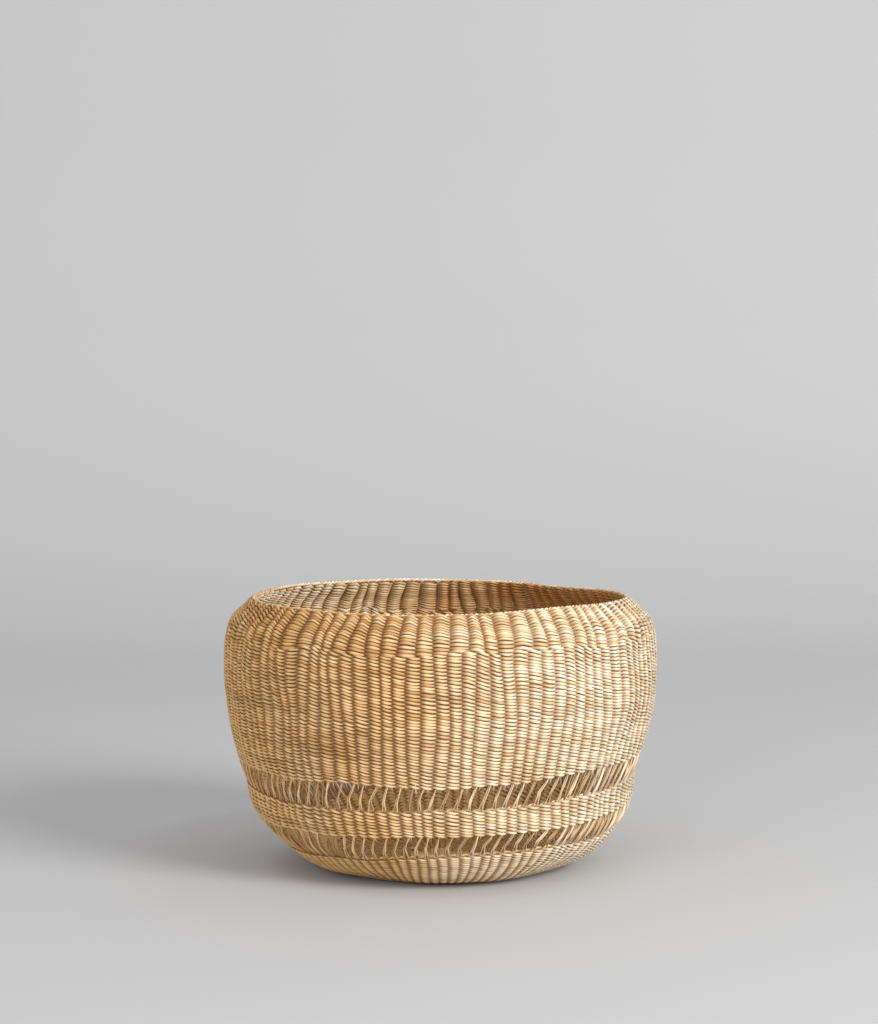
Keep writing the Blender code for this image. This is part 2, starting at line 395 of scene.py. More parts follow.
class Ribs:
    """The rounding of the ribs: how deep weft strands and stakes lie at a place on the wall."""

    OUTER_ROUND = 0.21
    INNER_ROUND = 0.17
    SHARPNESS = 0.60

    def __init__(self, rib_width, swell=1.0):
        self.outer = self.OUTER_ROUND * rib_width
        self.inner = self.INNER_ROUND * rib_width
        self.swell = swell
        self.strand = settings().weave.strand * np.clip(rib_width / 0.009, 0.4, 1.0)

    def weft_depth(self, phase):
        over = np.cos(phase)
        swing = np.where(over > 0.0, self.outer * self.swell, self.inner)
        return self.outer + self.strand - swing * np.sign(over) * np.abs(over) ** self.SHARPNESS

    def stake_depth(self):
        return self.strand + (self.outer + self.inner) / 2.0

    def stake_room(self):
        return np.maximum((self.outer + self.inner) / 2.0 - self.strand, 0.3 * self.strand)


def new_piece(name, mesh, finish, *nodes):
    """A piece at the origin with its finish and its place in the frame."""
    piece = new_object(name, mesh)
    mesh.name = name
    mesh.materials.clear()
    mesh.materials.append(grass_material(finish))
    mesh.shade_smooth()
    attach(piece, BODY)
    if nodes:
        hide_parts(*nodes)
    return piece


def get_points(mesh):
    points = np.empty(len(mesh.vertices) * 3, np.float32)
    mesh.vertices.foreach_get("co", points)
    return points.reshape(-1, 3).astype(float)


def set_points(mesh, points):
    mesh.vertices.foreach_set("co", points.astype(np.float32).ravel())
    mesh.update()


def set_finish(mesh, strand, tone, painted_light, painted_shade):
    """Stores what the materials read: place along the strand, lightness, painted light, painted
    shade.
    """
    finish = {"strand": strand, "tone": tone, "painted_light": painted_light, "painted_shade": painted_shade}
    for name, values in finish.items():
        kind, key = ("FLOAT", "value") if values.ndim == 1 else ("FLOAT_VECTOR", "vector")
        attribute = mesh.attributes.new(name, kind, "POINT")
        attribute.data.foreach_set(key, values.astype(np.float32).ravel())


def built(builder, name):
    """The mesh that a builder holds; the builder is let go."""
    mesh = bpy.data.meshes.new(name)
    builder.to_mesh(mesh)
    builder.free()
    return mesh


def spin(builder, angle, steps, climb, copies=False):
    """Turns and lifts everything in steps, and leaves a skin or copies behind."""
    bmesh.ops.spin(
        builder,
        geom=builder.verts[:] + builder.edges[:] + builder.faces[:],
        cent=(0.0, 0.0, 0.0),
        axis=(0.0, 0.0, 1.0),
        dvec=(0.0, 0.0, climb),
        angle=angle,
        steps=steps,
        use_duplicate=copies,
    )


def close_ends(mesh, sides):
    """Fills the open ends of tubes and turns every face outwards."""
    builder = bmesh.new()
    builder.from_mesh(mesh)
    ends = [edge for edge in builder.edges if edge.is_boundary]
    bmesh.ops.holes_fill(builder, edges=ends, sides=sides)
    bmesh.ops.recalc_face_normals(builder, faces=builder.faces)
    builder.to_mesh(mesh)
    builder.free()
    return mesh


def repeated(mesh, count, step, merge):
    """A mesh repeated in a straight row by an Array modifier that is then applied."""
    pattern = new_object("pattern", mesh)
    row = pattern.modifiers.new("Row", "ARRAY")
    row.use_relative_offset = False
    row.use_constant_offset = True
    row.constant_offset_displace = step
    row.count = count
    row.use_merge_vertices = merge
    row.merge_threshold = MERGE_DISTANCE
    evaluated = pattern.evaluated_get(bpy.context.evaluated_depsgraph_get())
    result = bpy.data.meshes.new_from_object(evaluated)
    bpy.data.objects.remove(pattern, do_unlink=True)
    return result


def one_turn(sections, sides, strands):
    """Strands wound side by side once round a drum, open at their ends and climbing by one."""
    builder = bmesh.new()
    upright = Matrix.Rotation(math.pi / 2.0, 4, "X")
    for strand in range(strands):
        drum = Matrix.Translation((DRUM_RADIUS + strand * DRUM_STEP, 0.0, 0.0))
        place = drum @ upright
        bmesh.ops.create_circle(builder, segments=sides, radius=STRAND_RADIUS, matrix=place)
    parts = DRUM_FACES
    spin(builder, TAU / parts, sections // parts, 1.0 / sections)
    spin(builder, TAU * (parts - 1) / parts, parts - 1, 1.0 / parts, copies=True)
    bmesh.ops.remove_doubles(builder, verts=builder.verts, dist=MERGE_DISTANCE)
    return built(builder, "one_turn")


def wound_strands(turns, sections, sides, strands):
    """Strands wound on a drum for some turns, with closed ends."""
    windings = repeated(one_turn(sections, sides, strands), turns, (0.0, 0.0, 1.0), True)
    return close_ends(windings, sides)


def read_drum(points):
    """For each vertex of wound strands: its strand, its turns along it, and its place across it."""
    distance = np.hypot(points[:, 0], points[:, 1])
    strand = np.rint((distance - DRUM_RADIUS) / DRUM_STEP).astype(int)
    turn_share = np.arctan2(points[:, 1], points[:, 0]) / TAU % 1.0
    turns = np.rint(points[:, 2] - turn_share) + turn_share
    out = (distance - DRUM_RADIUS - strand * DRUM_STEP) / STRAND_RADIUS
    up = (points[:, 2] - turns) / STRAND_RADIUS
    return strand, turns, out, up


def cut_rods(count, sections, sides):
    """Straight closed rods, upright and one apart on a rack, each one high."""
    builder = bmesh.new()
    bmesh.ops.create_circle(builder, segments=sides, radius=STRAND_RADIUS)
    spin(builder, 0.0, sections, 1.0 / sections)
    rod = close_ends(built(builder, "one_rod"), sides)
    return repeated(rod, count, (1.0, 0.0, 0.0), False)


def read_rack(points):
    """For each vertex of cut rods: its rod, its share of the way up, and its angle round it."""
    rod = np.rint(points[:, 0]).astype(int)
    return rod, points[:, 2], np.arctan2(points[:, 1], points[:, 0] - rod)


def edge_curve(arcs):
    """An edge of the weave at any angle, from its arcs over evenly spaced ribs."""
    angles = np.arange(len(arcs)) * TAU / len(arcs)
    return lambda angle: np.interp(angle, angles, arcs, period=TAU)


@dataclass
class Zone:
    """A twined zone between two edges of the wall, in rows on its stakes."""

    wall: Wall
    stakes: Stakes
    edges: tuple
    pitch: float
    seed: int
    slant: float = 0.31
    arch: float = 0.0
    curl: float = 0.0
    overrun: tuple = (HELD_BACK, HELD_BACK)
    clean_edges: tuple = (1.0, 1.0)
    fullness: float = 1.0

    def __post_init__(self):
        self.low, self.high = map(edge_curve, self.edges)
        height = float(np.mean(self.edges[1] - self.edges[0]))
        self.rows = max(int(round(height / self.pitch)), 1)
        chance = np.random.default_rng(self.seed)
        stitches = (2, (self.rows + 1) * self.stakes.count)
        self.lifts = chance.normal(0.0, 1.0, stitches)
        self.tones = chance.uniform(0.0, 1.0, stitches)
        self.sizes = self.fullness * chance.uniform(0.86, 1.06, stitches)
        self.blades = chance.uniform(0.0, 1.0, (2, stitches[1] // BLADE_STITCHES + 2))
        self.row_tones = chance.uniform(0.0, 1.0, self.rows + 2)

    def arc(self, angle, row):
        low, high = self.low(angle), self.high(angle)
        return low + (high - low) * row / self.rows

    def row_pitch(self, angle):
        return (self.high(angle) - self.low(angle)) / self.rows

    def flattened(self, rib_width, share):
        """Rib widths that shrink towards a drawn-in top edge, where the ribs fade out."""
        near_top = clamped((share - 0.7) / 0.3) if self.curl else 0.0 * share
        return rib_width * (1.0 - 0.45 * near_top**2)

    def curled(self, share):
        """How far a drawn-in top edge curls inwards."""
        return self.curl * clamped((share - 0.82) / 0.18) ** 2

    def edge_light(self, row):
        """How near a row is to a clean edge, where strands are less stained: 1 at it, 0 within."""
        low, high = self.clean_edges
        nearness = np.maximum(low * (1.0 - row / 1.5), high * (1.0 - (self.rows - row) / 1.5))
        return clamped(nearness)


def reach(phase):
    """The phase of a stitch that stays outside past both sides of its rib, to lock with others."""
    return phase - STITCH_REACH * np.sin(phase)


class Stitches:
    """Each vertex of two wound weft strands: its row, its stitch and its place in the stitch."""

    def __init__(self, zone, points, first):
        self.zone = zone
        self.strand, wound, self.out, self.up = read_drum(points)
        self.row = first + wound
        self.share = self.row / zone.rows
        self.place = self.row * zone.stakes.count
        self.stitch = self.strand, np.floor(self.place + 0.5).astype(int)
        self.phase = math.pi * (self.place + self.strand)
        self.over = np.cos(reach(self.phase))
        self.outside = self.over > 0.0
        self.cross = np.sin(self.phase)

        even = zone.stakes.even_angle(self.place)
        self.pitch = zone.row_pitch(even)
        arc = zone.arc(even, self.row)
        arc = arc + self.pitch * ROW_DRIFT * field(zone.wall.row_drift, even, arc)
        lift = self.pitch * STITCH_LIFT * zone.lifts[self.stitch] * self.over**2
        self.arc = arc + lift
        self.rib_width = zone.stakes.rib_width(self.arc)

        height = zone.wall.outline.height(self.arc)
        self.shaded = clamped((height - SHADED_FROM) / SHADED_OVER)
        # Low inside: swollen strands, drawn in painted light with less painted shade
        low_down = clamped(height / LOW_INSIDE_OVER) * (1.0 - self.shaded)
        self.low_inside = low_down * (self.over < 0.0)

    def arc_across(self):
        """The arc of each vertex: strands slant over their rib and arch towards the mouth."""
        zone = self.zone
        arch = zone.arch * self.share * (np.cos(self.phase) ** 2 - ARCH_FOOT)
        bulge = STITCH_WAIST + STITCH_BELLY * np.abs(self.over) ** STITCH_BULGE
        half_height = self.pitch * zone.sizes[self.stitch] * bulge
        half_height = half_height * (1.0 + LOW_INSIDE_GROWTH * self.low_inside)
        return self.arc + self.pitch * (arch - zone.slant * self.cross) + self.up * half_height

    def depth_and_angle(self):
        """How deep each vertex lies and at which angle, square to its strand's path."""
        zone, stakes = self.zone, self.zone.stakes
        swell = stakes.blend(stakes.swells, self.place)
        ribs = Ribs(zone.flattened(self.rib_width, self.share), swell)
        ahead = ribs.weft_depth(reach(self.phase + SLOPE_STEP))
        behind = ribs.weft_depth(reach(self.phase - SLOPE_STEP))
        slope = (ahead - behind) / (2.0 * SLOPE_STEP / math.pi * self.rib_width)
        steep = np.sqrt(1.0 + slope**2)
        aside = self.out * ribs.strand * slope / steep
        depth = ribs.weft_depth(reach(self.phase)) - self.out * ribs.strand / steep
        to_end = np.minimum(self.row, zone.rows - self.row) * stakes.count
        tuck = clamped(1.0 - to_end / TUCKED_STITCHES)
        depth = depth + (ribs.stake_depth() - depth) * tuck + zone.curled(self.share)
        angle = stakes.angle(self.place, self.arc)
        return depth, angle + aside / zone.wall.outline.radius(self.arc)

    def lane(self):
        """Coordinates along each strand, in a lane of its own for each strand and row."""
        along = self.place * float(np.mean(self.rib_width))
        lane = 3.0 * self.strand + 7.0 * np.floor(self.row)
        return np.stack((along, self.out, self.up + lane), axis=-1)

    def tone(self, angle):
        """How light each vertex is: by its stitch, blade and row, with a painted highlight on its
        raised end, painted light on the low inside and painted shade under the rim inside, darker
        towards +X.
        """
        zone = self.zone
        blade = (self.stitch[1] + BLADE_LEAD * self.strand) // BLADE_STITCHES
        blade = np.clip(blade, 0, zone.blades.shape[1] - 1)
        tone = STITCH_TONE * zone.tones[self.stitch]
        tone = tone + BLADE_TONE * zone.blades[self.strand, blade]
        tone = tone + ROW_TONE * zone.row_tones[np.floor(self.row).astype(int)]
        tone = tone + EDGE_TONE * zone.edge_light(self.row)
        # Painted highlight: the right end of each stitch outside is drawn lighter
        tone = tone + PAINTED_HIGHLIGHT_TONE * self.cross * clamped(self.over)
        # Painted shade: the inside under the rim is drawn darker, most towards +X
        shade = SHADED_TONE * self.shaded * (1.0 + 1.6 * np.sin(angle))
        # Painted light: the low inside is drawn lighter
        return np.where(self.outside, tone, tone + LOW_INSIDE_LIGHT * self.low_inside - shade)

    def painted_light(self, angle):
        """Painted light that bleaches each vertex: outside on the side towards +X, inside high up
        towards -X; the low inside stays unbleached.
        """
        inside = self.shaded * (0.3 - 1.3 * np.sin(angle)) - 0.3
        return np.where(self.outside, np.sin(angle), inside)

    def painted_shade(self):
        """Painted shade of each vertex: between two rows, and where its strand dips under another,
        most on the left end of a stitch; weaker inside, most under the rim.
        """
        groove_shade = (np.abs(self.up) / np.abs(self.up).max()) ** 2
        dip_shade = np.where(self.cross < 0.0, np.abs(self.cross) ** 1.1, 0.35 * self.cross**3)
        outside = dip_shade + 0.85 * groove_shade
        inside = outside * (0.45 + 0.35 * self.shaded - 0.38 * self.low_inside)
        return clamped(np.where(self.outside, outside, inside))


def lay_weft(zone, first, turns, sections=6, sides=6):
    """Two weft strands wound over and under the stakes for some rows of a zone."""
    mesh = wound_strands(turns, zone.stakes.count * sections, sides, 2)
    stitches = Stitches(zone, get_points(mesh), first)
    depth, angle = stitches.depth_and_angle()
    set_points(mesh, zone.wall.place(angle, stitches.arc_across(), depth))
    tone, painted_light = stitches.tone(angle), stitches.painted_light(angle)
    set_finish(mesh, stitches.lane(), tone, painted_light, stitches.painted_shade())
    return mesh


def rod_lane(rod, arc, corner):
    """Coordinates along each rod, in a lane of its own for each rod."""
    return np.stack((arc, np.cos(corner), np.sin(corner) + 3.0 * rod), axis=-1)


def lay_hidden_stakes(zone, sections=12, sides=8):
    """The stakes that run inside the ribs of a twined zone."""
    wall, stakes = zone.wall, zone.stakes
    mesh = cut_rods(stakes.count, sections, sides)
    rod, share, corner = read_rack(get_points(mesh))
    even = stakes.even_angle(rod)
    low, high = zone.low(even), zone.high(even)
    arc = low - zone.overrun[0] + (high - low + sum(zone.overrun)) * share
    rib_width = stakes.rib_width(arc)
    ribs = Ribs(zone.flattened(rib_width, share))
    taper = 1.0 - 0.35 * np.abs(2.0 * share - 1.0) ** 12
    aside = HIDDEN_WIDTH * rib_width * taper * np.cos(corner)
    depth = ribs.stake_depth() - 0.85 * ribs.stake_room() * taper * np.sin(corner)
    angle = stakes.angle(rod, arc) + aside / wall.outline.radius(arc)
    set_points(mesh, wall.place(angle, arc, depth + zone.curled(share)))
    tone = np.random.default_rng(stakes.count).uniform(0.0, 0.6, stakes.count)[rod]
    # Painted shade: the hidden stakes are drawn dark all over
    painted_shade = np.full(len(tone), HIDDEN_STAKE_SHADE)
    set_finish(mesh, rod_lane(rod, arc, corner), tone, np.zeros(len(tone)), painted_shade)
    return mesh


def lay_rods(stakes, mesh, rods, path, blade, tone, painted_shade):
    """Lays rods as twisted blades of grass along a path on the wall, with their finish."""
    (rod, corner), (place, arc, depth), (size, twist) = rods, path, blade
    wide = size * np.cos(corner)
    thin = BLADE_FLATNESS * size * np.sin(corner)
    aside = wide * np.cos(twist) - thin * np.sin(twist)
    inwards = wide * np.sin(twist) + thin * np.cos(twist)
    angle = stakes.angle(place, arc) + aside / stakes.wall.outline.radius(arc)
    set_points(mesh, stakes.wall.place(angle, arc, depth + inwards))
    # Painted light: rods are drawn paler on the side towards +X
    set_finish(mesh, rod_lane(rod, arc, corner), tone, 0.5 * np.sin(angle), painted_shade)
    return mesh


@dataclass
class Band:
    """An openwork between two sidings; its places count in distances between two stakes."""

    below: str
    above: str
    near_foot: float
    far_foot: float
    fork_place: float
    top: float
    back_growth: float
    splints: int
    seed: int


BANDS = {
    "lower": Band("foot_siding", "middle_siding", 0.30, 0.68, 0.58, 1.10, 1.3, 7, 31),
    "upper": Band("middle_siding", "body_siding", 0.14, 0.46, 0.47, 0.88, 0.6, 3, 41),
}


def lay_openwork(stakes, low, high, band, sections=16, sides=6):
    """Bare stakes of an openwork: two strands that part at their foot and lean right above."""
    mesh = cut_rods(2 * stakes.count, sections, sides)
    rod, share, corner = read_rack(get_points(mesh))
    stake, side = rod // 2, 2.0 * (rod % 2) - 1.0
    chance = np.random.default_rng(band.seed)
    jogs = chance.uniform(-1.0, 1.0, (9, stakes.count))[:, stake]
    near_jog, far_jog, fork_jog, joint_jog, top_jog, turn_jog, lean_jog, size_jog, knot_jog = jogs
    tone = chance.uniform(0.25, 1.0, 2 * stakes.count)[rod]

    even = stakes.even_angle(stake + 0.5)
    low_arc, high_arc = low(even), high(even)
    gap = high_arc - low_arc
    arc = low_arc - STAKE_RUN + (gap + 2.0 * STAKE_RUN) * share
    up = (arc - low_arc) / gap
    fork = 0.42 + 0.14 * fork_jog
    near_foot = band.near_foot + 0.07 * near_jog
    foot = np.where(side < 0.0, near_foot, band.far_foot + 0.07 * far_jog)
    joint = band.fork_place + 0.05 * joint_jog
    sideways = np.sin(stakes.even_angle(stake))
    head = band.top + 0.10 * top_jog + 0.30 * np.abs(sideways)
    climb = clamped(up / fork)
    beyond = clamped((up - fork) / (1.0 - fork))
    forked = foot + (joint - foot) * climb ** (1.3 + 0.3 * side)
    place = np.where(up < fork, forked, joint + (head - joint) * beyond)
    hidden_foot = clamped(-up * gap / STAKE_RUN)
    hidden_head = clamped((up - 1.0) * gap / STAKE_RUN)
    place = place * (1.0 - 0.7 * hidden_foot) + (1.0 - place) * 0.7 * hidden_head

    rib_width = stakes.rib_width(arc)
    strand = settings().weave.stake_strand
    together = clamped((up - 0.45 * fork) / (0.55 * fork))
    apart = 0.86 * strand * together
    turn = math.pi * (0.55 + 0.5 * turn_jog) * beyond + 0.35 * lean_jog
    place = place + side * apart * np.cos(turn) / rib_width
    bulge = 0.0011 * np.sin(math.pi * clamped(up))
    depth = Ribs(rib_width).stake_depth() - 0.0005 - bulge - side * apart * np.sin(turn)
    knots = 1.0 + 0.2 * np.sin(9.0 * share + 3.0 * knot_jog)
    size = strand * (1.0 + 0.25 * size_jog * side) * knots
    size = size * (1.0 + 0.45 * sideways**2 + band.back_growth * stakes.backwards(stake))
    twist = 0.9 * lean_jog + 2.2 * knot_jog * share
    # Painted shade: darker where strands hide in the sidings, where they part, and on one side of
    # each rod
    shaded = 0.65 * hidden_foot + 0.65 * hidden_head + 0.25 * (1.0 - together)
    painted_shade = clamped(shaded + 0.45 - 0.45 * np.cos(corner))
    path = stake + place, arc, depth
    return lay_rods(stakes, mesh, (rod, corner), path, (size, twist), tone, painted_shade)


def lay_splints(stakes, low, high, band, sections=6, sides=5):
    """Thin split strands that lean across an openwork on the basket's sides and back."""
    chance = np.random.default_rng(band.seed + 3)
    each = band.splints
    all_stakes = np.arange(stakes.count)
    crowded = np.abs(np.sin(stakes.even_angle(all_stakes) * 0.5)) > BARE_FRONT
    kept = np.repeat(all_stakes[crowded], each)
    mesh = cut_rods(len(kept), sections, sides)
    rod, share, corner = read_rack(get_points(mesh))
    stake = kept[rod]
    number = np.tile(np.arange(each), len(kept) // each)[rod]
    jogs = chance.uniform(-1.0, 1.0, (5, len(kept)))[:, rod]
    start_jog, lean_jog, bow_jog, depth_jog, size_jog = jogs
    low_arc, high_arc = low(stakes.even_angle(stake)), high(stakes.even_angle(stake))
    arc = low_arc - SPLINT_RUN + (high_arc - low_arc + 2.0 * SPLINT_RUN) * share
    start = (number + 0.5) / each + 0.12 * start_jog
    lean = 0.75 + 0.30 * lean_jog
    place = stake + start + lean * (share - 0.35) + 0.10 * bow_jog * np.sin(math.pi * share)
    depth = Ribs(stakes.rib_width(arc)).stake_depth() + 0.0004 + 0.0007 * depth_jog
    knots = 1.0 + 0.15 * np.sin(7.0 * share + 3.0 * bow_jog)
    size = SPLINT_SIZE * (1.0 + 0.35 * size_jog) * knots * (1.0 + stakes.backwards(stake))
    tone = 0.1 + 0.35 * (1.0 + depth_jog)
    # Painted shade: each splint is darker on one side
    painted_shade = clamped(0.55 - 0.35 * np.cos(corner))
    path, blade = (place, arc, depth), (size, 1.5 * depth_jog * share)
    return lay_rods(stakes, mesh, (rod, corner), path, blade, tone, painted_shade)


def lay_cut_ends(stakes, edge, band, sections=5, sides=5):
    """Short pointed ends of old stakes that hang from the ribs over an openwork."""
    chance = np.random.default_rng(band.seed + 5)
    kept = np.flatnonzero(chance.uniform(0.0, 1.0, stakes.count) < 0.85)
    mesh = cut_rods(len(kept), sections, sides)
    rod, share, corner = read_rack(get_points(mesh))
    stake = kept[rod]
    hang = chance.uniform(0.0022, 0.0068, len(kept))[rod]
    width = chance.uniform(0.00045, 0.0008, len(kept))[rod]
    start = 0.26 + chance.uniform(-0.10, 0.10, len(kept))[rod]
    lean = chance.uniform(-0.10, 0.08, len(kept))[rod]
    tone = chance.uniform(0.3, 1.0, len(kept))[rod]
    arc = edge(stakes.even_angle(stake + start)) + SPLINT_RUN - (hang + SPLINT_RUN) * share
    depth = Ribs(stakes.rib_width(arc)).stake_depth() - 0.0014 + 0.0006 * share
    size = width * clamped(1.25 * (1.0 - share) + 0.12)
    path, blade = (stake + start + lean * share, arc, depth), (size, 0.0 * share)
    # Painted shade: each cut end is darker towards the rib it hangs from
    return lay_rods(stakes, mesh, (rod, corner), path, blade, tone, 0.5 * (1.0 - share))


def lay_rim_cord(wall, twists, seed):
    """Two plies twisted round each other along the mouth."""
    mesh = wound_strands(1, twists * 6, 6, 2)
    strand, turns, out, up = read_drum(get_points(mesh))
    ply = settings().weave.cord_ply
    angle = math.pi + TAU * turns
    twist = TAU * twists * turns + math.pi * strand
    top = float(wall.outline.arcs[-1])
    arc = top - 1.1 * ply + PLY_OFFSET * ply * np.sin(twist) + ply * up
    depth = 4.0 * ply - PLY_OFFSET * ply * np.cos(twist) - ply * out
    points = wall.place(angle, np.minimum(arc, top), depth)
    points[:, 2] += np.maximum(arc - top, 0.0)
    set_points(mesh, points)
    tones = np.random.default_rng(seed).uniform(0.2, 1.0, (2, twists + 1))
    tone = tones[strand, (turns * twists).astype(int)]
    along = turns * TAU * wall.shape.mouth_radius
    lane = np.stack((along, out, up + 3.0 * strand), axis=-1)
    # Painted light on the cord towards +X and the back, and painted shade where each ply runs along
    # the cord's underside
    painted_light = 0.8 * np.maximum(np.sin(angle), -np.cos(angle))
    set_finish(mesh, lane, tone, painted_light, clamped(0.6 - 0.5 * np.sin(twist)))
    return mesh


def fill(node, inputs):
    """Sets a node's inputs by name or number: from a constant, or from a socket by a link."""
    for key, value in inputs.items():
        if isinstance(value, bpy.types.NodeSocket):
            node.id_data.links.new(value, node.inputs[key])
        else:
            node.inputs[key].default_value = value


def shader_node(tree, kind, place, inputs=None, **values):
    node = tree.nodes.new(kind)
    node.location = place
    for key, value in values.items():
        setattr(node, key, value)
    fill(node, inputs or {})
    return node


def noise(tree, place, vector, scale, detail, roughness=0.5):
    """A noise of its own scale on each axis of a vector."""
    mapping = shader_node(tree, "ShaderNodeMapping", place, {"Vector": vector, "Scale": scale})
    grain = {"Scale": 1.0, "Detail": detail, "Roughness": roughness}
    grain["Vector"] = mapping.outputs["Vector"]
    texture = shader_node(tree, "ShaderNodeTexNoise", (place[0] + 200, place[1]), grain)
    return texture.outputs["Fac"]


def sums(tree, place, value, factor, base):
    """value * factor + base, where each may be a number or a socket."""
    inputs = dict(enumerate((value, factor, base)))
    node = shader_node(tree, "ShaderNodeMath", place, inputs, operation="MULTIPLY_ADD")
    return node.outputs["Value"]


def stretched(tree, place, value, low, high):
    """A value stretched so that low becomes 0 and high becomes 1."""
    inputs = {"Value": value, "From Min": low, "From Max": high}
    return shader_node(tree, "ShaderNodeMapRange", place, inputs).outputs["Result"]


def mixed(tree, place, factor, first, second):
    inputs = {"Factor": factor, "A": first, "B": second}
    return shader_node(tree, "ShaderNodeMix", place, inputs, data_type="RGBA").outputs["Result"]


def stored(tree, place, name, output="Fac"):
    """What the pieces store for each vertex under a name."""
    return shader_node(tree, "ShaderNodeAttribute", place, attribute_name=name).outputs[output]


def grass_group():
    """Shared finish of dry grass: a tone to each stitch, fibres along strands, painted shade in
    hollows, and painted light that bleaches the lit side.
    """
    name = "dry_grass"
    if name in bpy.data.node_groups:
        return bpy.data.node_groups[name]
    tree = bpy.data.node_groups.new(name, "ShaderNodeTree")
    sockets = [(label, "INPUT", "Color") for label in COLOURS]
    sockets += [(label, "INPUT", "Float") for label in STRENGTHS]
    sockets += [("Colour", "OUTPUT", "Color"), ("Roughness", "OUTPUT", "Float")]
    sockets += [("Height", "OUTPUT", "Float")]
    for label, side, kind in sockets:
        tree.interface.new_socket(label, in_out=side, socket_type="NodeSocket" + kind)
    given = shader_node(tree, "NodeGroupInput", (-1200, 0)).outputs
    tone = stored(tree, (-1200, 300), "tone")
    # Painted shade that each vertex stores
    depth = stored(tree, (-1200, -600), "painted_shade")
    strand = stored(tree, (-1200, -300), "strand", "Vector")
    painted_light = stored(tree, (-950, 750), "painted_light")
    place = shader_node(tree, "ShaderNodeTexCoord", (-1200, 600)).outputs["Object"]

    fibres = noise(tree, (-950, -300), strand, (70.0, 2.6, 2.6), 4.0, 0.65)
    blades = noise(tree, (-950, -100), strand, (30.0, 0.5, 0.5), 1.0)
    patches = noise(tree, (-950, 600), place, (13.0, 13.0, 13.0), 2.0)
    streaks = noise(tree, (-950, 900), place, (8.0, 8.0, 75.0), 3.0)

    shifted = sums(tree, (-750, 300), tone, 1.0, given["Tone Shift"])
    lightness = sums(tree, (-600, 300), blades, BLADE_CONTRAST, shifted)
    lightness = sums(tree, (-450, 300), fibres, given["Fibre"], lightness)
    lightness = stretched(tree, (-300, 300), lightness, *LIGHTNESS_RANGE)
    patchy = sums(tree, (-750, 750), patches, PATCH_BLEACH, BLEACH_BASE)
    # Random bleached patches, plus painted light: straw on the side towards the key lamp is drawn
    # pale
    bleached = sums(tree, (-600, 750), painted_light, PAINTED_LIGHT_BLEACH, patchy)
    bleached = stretched(tree, (-450, 750), bleached, 0.0, 1.0)
    plain = mixed(tree, (-100, 300), lightness, given["Ruddy"], given["Straw"])
    bleached_and_lit_straw = mixed(tree, (-100, 100), lightness, given["Sand"], given["Pale"])
    grass = mixed(tree, (100, 300), bleached, plain, bleached_and_lit_straw)
    streaky = stretched(tree, (-300, 700), streaks, *STREAK_RANGE)
    stained = sums(tree, (-100, 700), streaky, given["Stain"], 0.0)
    grass = mixed(tree, (350, 300), stained, grass, given["Brown"])
    # Painted shade: hollows and hidden strands are mixed towards Brown, less where straw is
    # bleached or lit
    power = {0: depth, 1: PAINTED_SHADE_POWER}
    painted_shade = shader_node(tree, "ShaderNodeMath", (100, -600), power, operation="POWER")
    fade = sums(tree, (350, -600), bleached, SHADE_CUT_WHERE_BLEACHED_OR_LIT, 1.0)
    strength = sums(tree, (350, -500), given["Painted Shade"], fade, 0.0)
    shade = sums(tree, (350, -400), painted_shade.outputs["Value"], strength, 0.0)
    grass = mixed(tree, (600, 200), shade, grass, given["Brown"])
    limits = {"Value": fibres, "To Min": ROUGHNESS_RANGE[0], "To Max": ROUGHNESS_RANGE[1]}
    rough = shader_node(tree, "ShaderNodeMapRange", (600, -200), limits).outputs["Result"]
    result = {"Colour": grass, "Roughness": rough, "Height": fibres}
    shader_node(tree, "NodeGroupOutput", (1200, 0), result)
    return tree


def grass_material(name):
    """Dry grass with one of the finishes, under a name that no material of the frame has."""
    if name in bpy.data.materials:
        return bpy.data.materials[name]
    material = bpy.data.materials.new(name)
    material.use_nodes = True
    tree = material.node_tree
    given = dict(zip(STRENGTHS, FINISHES[name][1:]))
    for label in COLOURS:
        given[label] = (*getattr(settings().colours, label.lower()), 1.0)
    group = shader_node(tree, "ShaderNodeGroup", (-400, 0), given, node_tree=grass_group())
    relief = {"Distance": 0.0003, "Strength": 0.6, "Height": group.outputs["Height"]}
    bump = shader_node(tree, "ShaderNodeBump", (-200, -300), relief)
    look = {
        "Base Color": group.outputs["Colour"],
        "Roughness": group.outputs["Roughness"],
        "Normal": bump.outputs["Normal"],
        "Specular IOR Level": 0.4,
    }
    fill(tree.nodes["Principled BSDF"], look)
    return material


def siding_edges(wall, node, stakes):
    """Arcs of a CAD siding's lower and upper edge over each of its ribs, counted from the front."""
    points = get_points(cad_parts[node].data)
    radius = np.hypot(points[:, 0], points[:, 1])
    arc = wall.outline.arc_at(points[:, 2])
    on_crest = radius > wall.outline.radius(arc) - CREST_MARGIN
    turn = np.arctan2(points[:, 0], -points[:, 1]) / TAU
    rib = np.rint(turn * stakes.count).astype(int) % stakes.count
    low, high = np.full(stakes.count, np.inf), np.zeros(stakes.count)
    np.minimum.at(low, rib[on_crest], arc[on_crest])
    np.maximum.at(high, rib[on_crest], arc[on_crest])
    return low, high


def weave_zone(names, zone, finish, node):
    """Weaves a zone over its CAD node, in as many pieces as it has names, with stakes inside."""
    bounds = np.rint(np.linspace(0, zone.rows, len(names) + 1)).astype(int)
    for name, first, last in zip(names, bounds, bounds[1:]):
        new_piece(name, lay_weft(zone, int(first), int(last - first)), finish, node)
    stakes_name = names[0].split("_")[0] + "_stakes"
    new_piece(stakes_name, lay_hidden_stakes(zone), "hidden_stake_grass", node)


